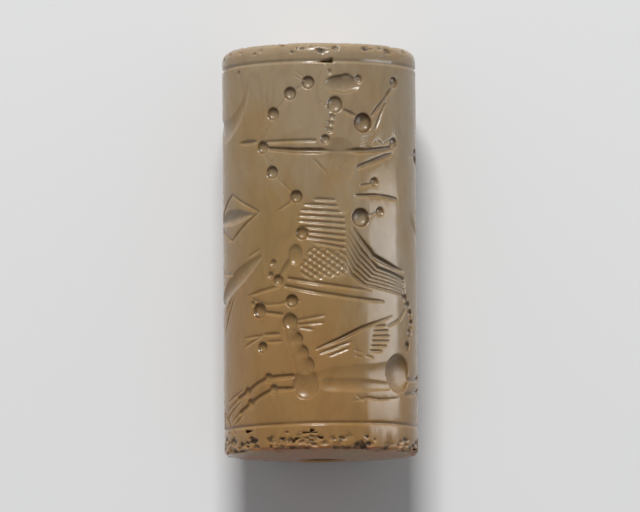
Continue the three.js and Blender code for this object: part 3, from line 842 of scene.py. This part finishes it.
@dataclass
class Bird(Figure):
    """The small bird that flies behind the monster."""

    origin: Point = (25.8, 12.2)

    def engrave(self, tool: Graver) -> None:
        """Cuts the bird."""
        tool.balls((0.0, 0.0, 0.5), (1.5, 0.1, 0.62))
        body = [(1.2, -0.3), (3.0, -0.6), (4.8, -0.8), (6.4, -0.9)]
        tool.groove(body, [1.0, 1.8, 1.55, 0.9], 0.5)
        tool.strokes(((-0.5, -1.45), (1.3, -1.0), 0.32), ((-0.8, -0.5), (0.4, -0.3), 0.26))
        tool.wheel((5.6, -0.4), (9.2, 1.4), 0.34, blunt=(0.6, 0.2), bow=-0.2)
        tool.fan(3, ((6.0, -0.6), (5.6, -1.2)), ((8.7, -0.2), (8.7, -1.9)), 0.28)
        tool.wheel((5.0, -1.3), (9.1, -3.7), 0.36, blunt=(0.6, 0.2), bow=0.2)
        tool.fan(3, ((2.5, 0.3), (3.7, 0.1)), ((4.1, 1.7), (5.6, 1.6)), 0.28)
        tool.fan(2, ((1.8, -1.3), (2.2, -1.2)), ((3.4, -3.0), (3.9, -2.7)), 0.26)


# ----- wear and dirt


@dataclass
class Wear:
    """Chips, pits and a slow unevenness, all from one seed."""

    blank: Blank
    seed: int = SEED

    def __post_init__(self) -> None:
        """Starts the seeded draws."""
        self.rng = np.random.default_rng(self.seed)

    def chip(self, rollout: Rollout, u: float, v: float,
             length: float, height: float, depth: float) -> None:
        """One ragged flake.

        Its edge is an ellipse whose radius swings by a few cosines of the angle round it, and
        its floor is a paraboloid that leans to one side.

        Args:
            rollout: Where it is pressed.
            u: Middle along the print.
            v: Middle up the print.
            length: Full size along u.
            height: Full size along v.
            depth: Deepest point.
        """
        rows, columns, du, dv = rollout.near(u, v, max(length, height) * 0.8)
        x, y = du / (length / 2), dv / (height / 2)
        around = np.arctan2(y, x)
        swing = np.ones_like(around)
        for wave in (2, 3, 5, 7):
            size = self.rng.uniform(0.05, 0.16)
            swing += size * np.cos(wave * around + self.rng.uniform(0, 2 * np.pi))
        lean = self.rng.uniform(-0.35, 0.35, 2)
        floor = 1.0 - (np.hypot(x, y) / swing) ** 2
        rollout.press(rows, columns, depth * np.clip(floor * (1 + lean[0] * x + lean[1] * y), 0.0, None))

    def band(self, rollout: Rollout, count: int, middle: float, spread: float,
             length: Pair, depth: Pair) -> None:
        """Chips strewn along one height all round the stone.

        Args:
            rollout: Where they are pressed.
            count: Number of chips.
            middle: Height v of the band.
            spread: Standard deviation of the height.
            length: Shortest and longest chip.
            depth: Shallowest and deepest chip.
        """
        for _ in range(count):
            u = self.rng.uniform(0.0, self.blank.girth)
            v = self.rng.normal(middle, spread)
            run = self.rng.uniform(*length)
            self.chip(rollout, u, v, run, run * self.rng.uniform(0.35, 0.8), self.rng.uniform(*depth))

    def press(self, rollout: Rollout) -> None:
        """Strews the chips and pits of the rims and the wall."""
        foot, line = -self.blank.scene_inset, self.blank.upper_line
        bands = (
            (150, foot + 1.2, 0.34, (0.3, 1.3), (0.07, 0.22)),
            (90, foot + 0.35, 0.25, (0.4, 1.8), (0.08, 0.26)),
            (46, line + 1.0, 0.3, (0.35, 1.5), (0.05, 0.17)),
            (40, line + 2.1, 0.35, (0.3, 1.2), (0.05, 0.16)),
            (130, 16.0, 9.5, (0.12, 0.3), (0.015, 0.05)),
        )
        for band in bands:
            self.band(rollout, *band)
        for u, v, run, rise, depth in ((18.6, 34.6, 1.7, 1.3, 0.24), (19.8, 35.6, 1.2, 0.9, 0.2),
                                       (17.9, 35.8, 1.0, 0.8, 0.18), (-9.0, 36.4, 1.5, 1.1, 0.22)):
            self.chip(rollout, u, v, run, rise, depth)

    def ripple(self, u: Array, v: Array,
               count: int, shortest: float, height: float) -> Array:
        """A slow unevenness that closes on itself round the stone.

        It is a sum of cosines of u and v with whole numbers of waves round the girth.

        Args:
            u: Columns of the rollout.
            v: Rows of the rollout.
            count: Number of waves in the sum.
            shortest: Shortest wave, in millimetres.
            height: Largest value of the sum, which is never below zero.

        Returns:
            Depth of every cell.
        """
        most = int(self.blank.girth / shortest)
        total = np.zeros((v.size, u.size))
        for _ in range(count):
            round_u = self.rng.integers(0, most + 1) * 2 * np.pi / self.blank.girth
            along_v = self.rng.uniform(-1.0, 1.0) * 2 * np.pi / shortest
            phase = self.rng.uniform(0, 2 * np.pi)
            total += np.cos(round_u * u[None, :] + along_v * v[:, None] + phase)
        total -= total.min()
        return total * (height / total.max())


def soften(values: Array, sigma: float) -> Array:
    """Blurs a field by a Gaussian, round the columns and held at the first and last row.

    Args:
        values: Field to blur.
        sigma: Standard deviation in cells.

    Returns:
        The blurred field.
    """
    reach = max(1, int(math.ceil(3 * sigma)))
    steps = np.arange(-reach, reach + 1)
    weights = np.exp(-0.5 * (steps / sigma) ** 2)
    weights /= weights.sum()
    across = sum(weight * np.roll(values, step, axis=1) for weight, step in zip(weights, steps))
    padded = np.pad(across, ((reach, reach), (0, 0)), mode="edge")
    rows = values.shape[0]
    return sum(weight * padded[reach + step: reach + step + rows] for weight, step in zip(weights, steps))


# ----- the stone


@dataclass
class SealStone:
    """The engraved stone, from its blank to its finished mesh."""

    blank: Blank
    columns: int = 760
    end_pitch: float = 0.14
    bore_pitch: float = 0.5
    triangles: int = 186_000
    edge_wear: float = 0.055
    line_width: float = 0.4
    line_depth: float = 0.17
    line_skew: float = 0.1
    slow_ripple: tuple[int, float, float] = (26, 7.0, 0.05)
    fine_ripple: tuple[int, float, float] = (40, 1.6, 0.012)

    def __post_init__(self) -> None:
        """Lays out the profile and the empty rollouts."""
        self.pitch = self.blank.girth / self.columns
        self.profile = profile_of(self.blank, self.pitch, self.end_pitch, self.bore_pitch)
        self.angle = np.arange(self.columns) * (2 * np.pi / self.columns)
        self.u = -self.blank.radius * self.angle
        self.engraving = Rollout(self.u, self.profile.v, self.blank.girth)
        self.damage = Rollout(self.u, self.profile.v, self.blank.girth)

    def engrave(self) -> None:
        """Cuts the border lines and every figure of the scene."""
        for level, skew in ((self.blank.ground_line, self.line_skew), (self.blank.upper_line, 0.0)):
            line = level + skew * np.sin(self.angle)
            gap = np.abs(self.profile.v[:, None] - line[None, :])
            depth = self.line_depth * Section.VEE.share(gap / (self.line_width / 2))
            self.engraving.depth = np.maximum(self.engraving.depth, depth)
        for figure in (Worshipper(), Archer(), WingedBeast(), Crescent(), Rhomb(),
                       Fish(), Monster(), Mound(), Bird()):
            figure.cut(self.engraving)
            LOG.info("engraved %s", type(figure).__name__)
        self.engraving.depth = soften(self.engraving.depth, self.edge_wear / self.pitch)

    def wear_down(self) -> None:
        """Presses the chips and pits, and works out the slow unevenness."""
        wear = Wear(self.blank)
        wear.press(self.damage)
        self.damage.depth = soften(self.damage.depth, 0.5)
        fade = np.clip(self.profile.radius[: self.profile.outside_rows] / self.blank.radius, 0.0, 1.0)
        slow = wear.ripple(self.u, self.profile.v, *self.slow_ripple)
        fine = wear.ripple(self.u, self.profile.v, *self.fine_ripple)
        self.unevenness = (slow + fine) * fade[:, None] ** 3

    def surface(self) -> Array:
        """Works out the place of every grid point.

        A point at angle a on a row of radius r and place y is (r sin a, y, axis + r cos a), after
        it has moved inwards along the row's normal by the depth there. Nothing goes below the
        table, which leaves the narrow worn flat.

        Returns:
            Places in millimetres, rows by columns by three.
        """
        profile = self.profile
        depth = np.zeros((profile.radius.size, self.columns))
        worked = np.maximum(self.engraving.depth, self.damage.depth)
        depth[: profile.outside_rows] = worked + self.unevenness
        radius = profile.radius[:, None] - depth * profile.normal_r[:, None]
        y = profile.y[:, None] - depth * profile.normal_y[:, None]
        x = radius * np.sin(self.angle)[None, :]
        z = self.blank.axis_height + radius * np.cos(self.angle)[None, :]
        return np.stack([x, y, np.maximum(z, 0.0)], axis=-1)

    def build(self) -> bpy.types.Object:
        """Fills the mesh, thins it where it is plain, and gives it its attributes.

        Returns:
            The stone, as an object at the origin.
        """
        self.engrave()
        self.wear_down()
        places = self.surface()
        rows, columns = places.shape[:2]
        index = np.arange(rows * columns).reshape(rows, columns)
        right = np.roll(index, -1, axis=1)
        up = np.roll(index, -1, axis=0)
        up_right = np.roll(up, -1, axis=1)
        quads = np.stack([index, right, up_right, up], axis=-1).reshape(-1, 4)

        mesh = bpy.data.meshes.new(NODE + "_surface")
        mesh.vertices.add(index.size)
        mesh.vertices.foreach_set("co", (places * MM).astype(np.float32).ravel())
        mesh.loops.add(quads.size)
        mesh.loops.foreach_set("vertex_index", quads.ravel().astype(np.int32))
        mesh.polygons.add(len(quads))
        mesh.polygons.foreach_set("loop_start", np.arange(0, quads.size, 4, dtype=np.int32))
        mesh.update(calc_edges=True)
        # The cut depth drives painted shade in the hollows of the cuts, and their roughness.
        self.store(mesh, "cut_depth", self.engraving.depth, rows)
        self.store(mesh, "chip_depth", self.damage.depth, rows)
        # The cut slope drives the painted shade on the walls of the cuts.
        self.store(mesh, "cut_slope", self.slope(self.engraving.depth), rows)
        self.store_normals(mesh, places)
        stone = bpy.data.objects.new("engraved_stone", mesh)
        bpy.context.scene.collection.objects.link(stone)
        LOG.info("grid of %d by %d cells", rows, columns)
        return self.thin(stone)

    def slope(self, depth: Array) -> Array:
        """How steep the sides of the cuts are: the length of the depth's gradient."""
        along = (np.roll(depth, -1, axis=1) - np.roll(depth, 1, axis=1)) / (2 * self.pitch)
        across = np.gradient(depth, self.profile.v, axis=0)
        return np.hypot(along, across)

    def store(self, mesh: bpy.types.Mesh, name: str, values: Array, rows: int) -> None:
        """Writes a field as a point attribute, with 0 down the bore."""
        whole = np.zeros((rows, self.columns), dtype=np.float32)
        whole[: self.profile.outside_rows] = values
        attribute = mesh.attributes.new(name, "FLOAT", "POINT")
        attribute.data.foreach_set("value", whole.ravel())

    def store_normals(self, mesh: bpy.types.Mesh, places: Array) -> None:
        """Writes the fine grid's own normals, so that the thinned mesh can keep them."""
        along = np.roll(places, -1, axis=1) - np.roll(places, 1, axis=1)
        across = np.roll(places, -1, axis=0) - np.roll(places, 1, axis=0)
        normals = np.cross(along, across)
        normals /= np.maximum(np.linalg.norm(normals, axis=-1, keepdims=True), 1e-12)
        attribute = mesh.attributes.new("fine_normal", "FLOAT_VECTOR", "POINT")
        attribute.data.foreach_set("vector", normals.astype(np.float32).ravel())

    def thin(self, stone: bpy.types.Object) -> bpy.types.Object:
        """Collapses the edges that matter least until the mesh is within its triangles."""
        modifier = stone.modifiers.new("thin", "DECIMATE")
        modifier.ratio = self.triangles / (2 * len(stone.data.polygons))
        modifier.use_collapse_triangulate = True
        graph = bpy.context.evaluated_depsgraph_get()
        thinned = bpy.data.meshes.new_from_object(stone.evaluated_get(graph))
        stone.modifiers.clear()
        grid = stone.data
        stone.data = thinned
        bpy.data.meshes.remove(grid)
        thinned.polygons.foreach_set("use_smooth", np.ones(len(thinned.polygons), dtype=bool))
        normals = np.empty(len(thinned.vertices) * 3, dtype=np.float32)
        thinned.attributes["fine_normal"].data.foreach_get("vector", normals)
        normals = normals.reshape(-1, 3)
        normals /= np.maximum(np.linalg.norm(normals, axis=1, keepdims=True), 1e-9)
        thinned.normals_split_custom_set_from_vertices(normals)
        thinned.attributes.remove(thinned.attributes["fine_normal"])
        LOG.info("thinned to %d triangles", len(thinned.polygons))
        return stone


# ----- the finish


@dataclass(frozen=True)
class Chalcedony:
    """Polished brown chalcedony: waxy, cloudy and a little translucent, with painted shade in and round the
    cuts, a painted sheen on its +X side and painted shade on its -X side.
    """

    honey: Triple = (0.335, 0.215, 0.09)
    # Smoke: the stone's grey clouding, and also the painted sheen on the +X side.
    smoke_and_sheen: Triple = (0.35, 0.265, 0.165)
    # Amber: the stone's warm zones, and also the painted shade on the -X side.
    amber_and_shade: Triple = (0.35, 0.19, 0.065)
    # Umber: the stone's dark bands and specks, and also the painted shade in and round the cuts.
    umber_and_shade: Triple = (0.10, 0.052, 0.02)
    dirt: Triple = (0.03, 0.013, 0.006)
    rust: Triple = (0.40, 0.15, 0.06)
    scatter: Triple = (1.0, 0.55, 0.28)
    scatter_depth: float = 0.6 * MM
    refraction: float = 1.54
    gloss: float = 0.28
    clearness: float = 0.7
    polish: Pair = (0.13, 0.26)
    bump: float = 0.02 * MM

    def build(self) -> bpy.types.Material:
        """Builds the node material.

        Returns:
            The material, patterned on Object coordinates and the stone's own attributes.
        """
        material = bpy.data.materials.new("chalcedony_finish")
        material.use_nodes = True
        nodes, links = material.node_tree.nodes, material.node_tree.links
        shader = nodes["Principled BSDF"]
        for name, value in (("Subsurface Weight", self.clearness), ("Subsurface Radius", self.scatter),
                            ("Subsurface Scale", self.scatter_depth), ("IOR", self.refraction),
                            ("Specular IOR Level", self.gloss)):
            shader.inputs[name].default_value = value

        def node(kind: str, **values: object) -> bpy.types.Node:
            """Adds a node and sets its properties or its sockets by name."""
            made = nodes.new(kind)
            for name, value in values.items():
                if name in made.inputs.keys():
                    made.inputs[name].default_value = value
                else:
                    setattr(made, name, value)
            return made

        place = node("ShaderNodeTexCoord")

        def plug(socket: Socket, value: object) -> None:
            """Links a socket to another, or sets it to a plain value."""
            if isinstance(value, Socket):
                links.new(value, socket)
            else:
                socket.default_value = value

        def noise(stretch: Pair, scale: float, detail: float,
                  distortion: float = 0.0) -> Socket:
            """Noise on Object coordinates in millimetres, stretched across and along the stone."""
            mapping = node("ShaderNodeMapping")
            across, along = stretch
            mapping.inputs["Scale"].default_value = (across / MM, along / MM, across / MM)
            links.new(place.outputs["Object"], mapping.inputs["Vector"])
            made = node("ShaderNodeTexNoise", Scale=scale, Detail=detail, Distortion=distortion)
            links.new(mapping.outputs["Vector"], made.inputs["Vector"])
            return made.outputs["Fac"]

        def ramp(source: Socket, low: float, high: float,
                 out_low: float = 0.0, out_high: float = 1.0) -> Socket:
            """A smooth step of a value from low to high."""
            made = node("ShaderNodeMapRange", interpolation_type="SMOOTHSTEP")
            names = ("Value", "From Min", "From Max", "To Min", "To Max")
            for name, value in zip(names, (source, low, high, out_low, out_high)):
                plug(made.inputs[name], value)
            return made.outputs["Result"]

        def mix(factor: Socket, first: object, second: object) -> Socket:
            """Mixes two colours, each a socket or a plain colour."""
            made = node("ShaderNodeMix", data_type="RGBA")
            links.new(factor, made.inputs[0])
            for socket, value in ((made.inputs[6], first), (made.inputs[7], second)):
                plug(socket, (*value, 1.0) if isinstance(value, tuple) else value)
            return made.outputs[2]

        def math_of(kind: str, first: object, second: object) -> Socket:
            """One step of arithmetic on sockets or numbers."""
            made = node("ShaderNodeMath", operation=kind)
            plug(made.inputs[0], first)
            plug(made.inputs[1], second)
            return made.outputs[0]

        def attribute(name: str) -> Socket:
            """One of the stone's own fields."""
            return node("ShaderNodeAttribute", attribute_name=name).outputs["Fac"]

        parts = node("ShaderNodeSeparateXYZ")
        links.new(place.outputs["Object"], parts.inputs["Vector"])
        # Colour slope up the stone and towards +X. Along the stone it is the stone's own tint. Across it,
        # the paler, greyer smoke towards +X, where the right strip's reflection lies, is a painted sheen,
        # and the deeper amber towards -X is painted shade.
        tint_and_sheen_slope = ramp(math_of("ADD", parts.outputs["Y"], math_of("MULTIPLY", parts.outputs["X"], 0.8)),
                      -22 * MM, 24 * MM)
        clouds_and_sheen = ramp(noise((1.0, 0.6), 0.16, 4.0, 0.6), 0.30, 0.72)
        clouds_and_sheen = ramp(math_of("ADD", clouds_and_sheen, tint_and_sheen_slope), 0.55, 1.6)
        warmth_and_shade = ramp(math_of("ADD", tint_and_sheen_slope, noise((0.7, 0.4), 0.2, 3.0, 0.4)), 1.0, 0.45)
        bands = ramp(noise((1.0, 0.35), 0.55, 5.0, 1.4), 0.42, 0.68)
        specks = ramp(noise((1.0, 1.0), 2.6, 3.0), 0.67, 0.76)
        # Darker the deeper a cut goes: painted shade in the hollows, along with some dirt in them.
        cut = ramp(attribute("cut_depth"), 0.02, 0.55)
        chip = ramp(attribute("chip_depth"), 0.02, 0.11)
        # Painted shade: the steeper a cut's wall, the darker umber it gets, a painted dark rim round every
        # cut.
        steep = ramp(attribute("cut_slope"), 0.45, 1.5)
        patches = ramp(noise((1.0, 1.0), 0.9, 3.0), 0.38, 0.62)
        dirt = math_of("MULTIPLY", chip, patches)
        lower_end = ramp(parts.outputs["Y"], -18.3 * MM, -19.2 * MM)
        stain = math_of("MULTIPLY", lower_end, ramp(noise((1.0, 1.0), 0.35, 2.0), 0.42, 0.60))

        # Smoke over honey is the stone's clouding, with a painted sheen towards +X; the amber layer below
        # adds painted shade towards -X along with the stone's warm zones.
        colour = mix(clouds_and_sheen, self.honey, self.smoke_and_sheen)
        # The umber on the cut floors and on the steep walls of the cuts is painted shade; the umber of the
        # bands and specks is the stone's own colour.
        layers = ((warmth_and_shade, 0.75, self.amber_and_shade), (bands, 0.13, self.umber_and_shade), (cut, 0.17, self.umber_and_shade),
                  (steep, 0.85, self.umber_and_shade), (specks, 0.35, self.umber_and_shade), (stain, 0.75, self.rust),
                  (dirt, 0.92, self.dirt))
        for where, share, tint in layers:
            colour = mix(math_of("MULTIPLY", where, share), colour, tint)
        links.new(colour, shader.inputs["Base Color"])

        matt = ramp(noise((1.0, 1.0), 1.1, 5.0), 0.3, 0.75, *self.polish)
        for where, more in ((chip, 0.28), (cut, 0.10)):
            matt = math_of("ADD", matt, math_of("MULTIPLY", where, more))
        links.new(matt, shader.inputs["Roughness"])

        grain = noise((1.0, 1.0), 5.0, 6.0)
        scratches = ramp(noise((4.0, 0.35), 2.2, 2.0, 0.4), 0.60, 0.66)
        bumps = [node("ShaderNodeBump", Strength=strength, Distance=self.bump) for strength in (0.22, 0.18)]
        for bump, height in zip(bumps, (grain, scratches)):
            links.new(height, bump.inputs["Height"])
        links.new(bumps[0].outputs["Normal"], bumps[1].inputs["Normal"])
        links.new(bumps[1].outputs["Normal"], shader.inputs["Normal"])
        return material


# ----- the studio


@dataclass
class Studio:
    """Pale table, soft lights and the camera that looks down on the lying stone."""

    target: Vector
    length: float
    elevation: float = 84.8
    turn: float = -0.4
    lengths_away: float = 22.0
    fill_of_frame: float = 0.8
    sensor: float = 36.0
    frame_shape: float = 640 / 512
    far: float = 10.0
    table_lengths: float = 80.0
    table_tone: float = 0.80
    air: tuple[float, float, float, float] = (0.95, 0.97, 1.0, 1.0)
    air_strength: float = 0.26

    def camera(self) -> None:
        """A long lens, a few degrees towards the lower end from straight above."""
        data = bpy.data.cameras.new("camera")
        data.sensor_width = self.sensor
        distance = self.length * self.lengths_away
        frame_width = self.length / self.fill_of_frame * self.frame_shape
        data.lens = self.sensor * distance / frame_width
        data.clip_end = self.far
        camera = bpy.data.objects.new("camera", data)
        tilt, turn = math.radians(self.elevation), math.radians(self.turn)
        level = math.cos(tilt)
        away = Vector((level * math.sin(turn), -level * math.cos(turn), math.sin(tilt)))
        camera.location = self.target + away * distance
        camera.rotation_euler = (math.pi / 2 - tilt, 0.0, turn)
        bpy.context.scene.collection.objects.link(camera)
        bpy.context.scene.camera = camera

    def table(self) -> None:
        """The pale table top."""
        half = self.length * self.table_lengths / 2
        mesh = bpy.data.meshes.new("table_top")
        mesh.from_pydata([(-half, -half, 0), (half, -half, 0), (half, half, 0), (-half, half, 0)],
                         [], [(0, 1, 2, 3)])
        table = bpy.data.objects.new("table_top", mesh)
        material = bpy.data.materials.new("table_paint")
        material.use_nodes = True
        shader = material.node_tree.nodes["Principled BSDF"]
        shader.inputs["Base Color"].default_value = (*[self.table_tone] * 3, 1.0)
        shader.inputs["Roughness"].default_value = 0.9
        shader.inputs["Specular IOR Level"].default_value = 0.1
        mesh.materials.append(material)
        bpy.context.scene.collection.objects.link(table)

    def light(self, name: str, azimuth: float, elevation: float, distance: float,
              size: Pair, power: float, gloss_only: bool = False) -> None:
        """A soft box that faces the stone.

        Args:
            name: Name of the light.
            azimuth: Degrees from +X towards +Y at which it stands.
            elevation: Degrees above the table.
            distance: Distance from the stone, in metres.
            size: Width and height, in metres.
            power: Watts.
            gloss_only: Whether it shows only as a reflection in what is polished.
        """
        data = bpy.data.lights.new(name, "AREA")
        data.shape = "RECTANGLE"
        data.size, data.size_y = size
        data.energy = power
        lamp = bpy.data.objects.new(name, data)
        a, e = math.radians(azimuth), math.radians(elevation)
        offset = Vector((math.cos(a) * math.cos(e), math.sin(a) * math.cos(e), math.sin(e)))
        lamp.location = self.target + offset * distance
        lamp.rotation_euler = offset.to_track_quat("Z", "Y").to_euler()
        lamp.visible_camera = False
        lamp.visible_diffuse = not gloss_only
        bpy.context.scene.collection.objects.link(lamp)

    def build(self) -> None:
        """Sets up everything around the stone."""
        self.camera()
        self.table()
        self.light("key_above", 94.0, 43.0, 1.0, (0.26, 0.18), 9.4)
        self.light("right_strip", -2.0, 15.0, 0.046, (0.026, 0.035), 0.018, gloss_only=True)
        self.light("left_strip", 180.0, 7.0, 0.075, (0.09, 0.012), 0.0006, gloss_only=True)
        world = bpy.data.worlds.new("studio_air")
        world.use_nodes = True
        air = world.node_tree.nodes["Background"]
        air.inputs["Color"].default_value = self.air
        air.inputs["Strength"].default_value = self.air_strength
        bpy.context.scene.world = world
        bpy.context.scene.view_settings.view_transform = "Standard"


def main() -> None:
    """Builds the stone and the studio around it."""
    logging.basicConfig(level=logging.INFO, format="%(name)s: %(message)s")
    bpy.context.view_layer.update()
    low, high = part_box(NODE)
    blank = Blank(
        diameter=(high.x - low.x) / MM,
        length=(high.y - low.y) / MM,
        height=high.z / MM,
    )
    stone = SealStone(blank).build()
    stone.data.materials.clear()
    stone.data.materials.append(Chalcedony().build())
    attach(stone, "root")
    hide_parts(NODE)
    LOG.info("stone %.1f by %.1f mm is in place", blank.diameter, blank.length)

    Studio(target=(low + high) / 2, length=high.y - low.y).build()


if __name__ == "__main__":
    main()
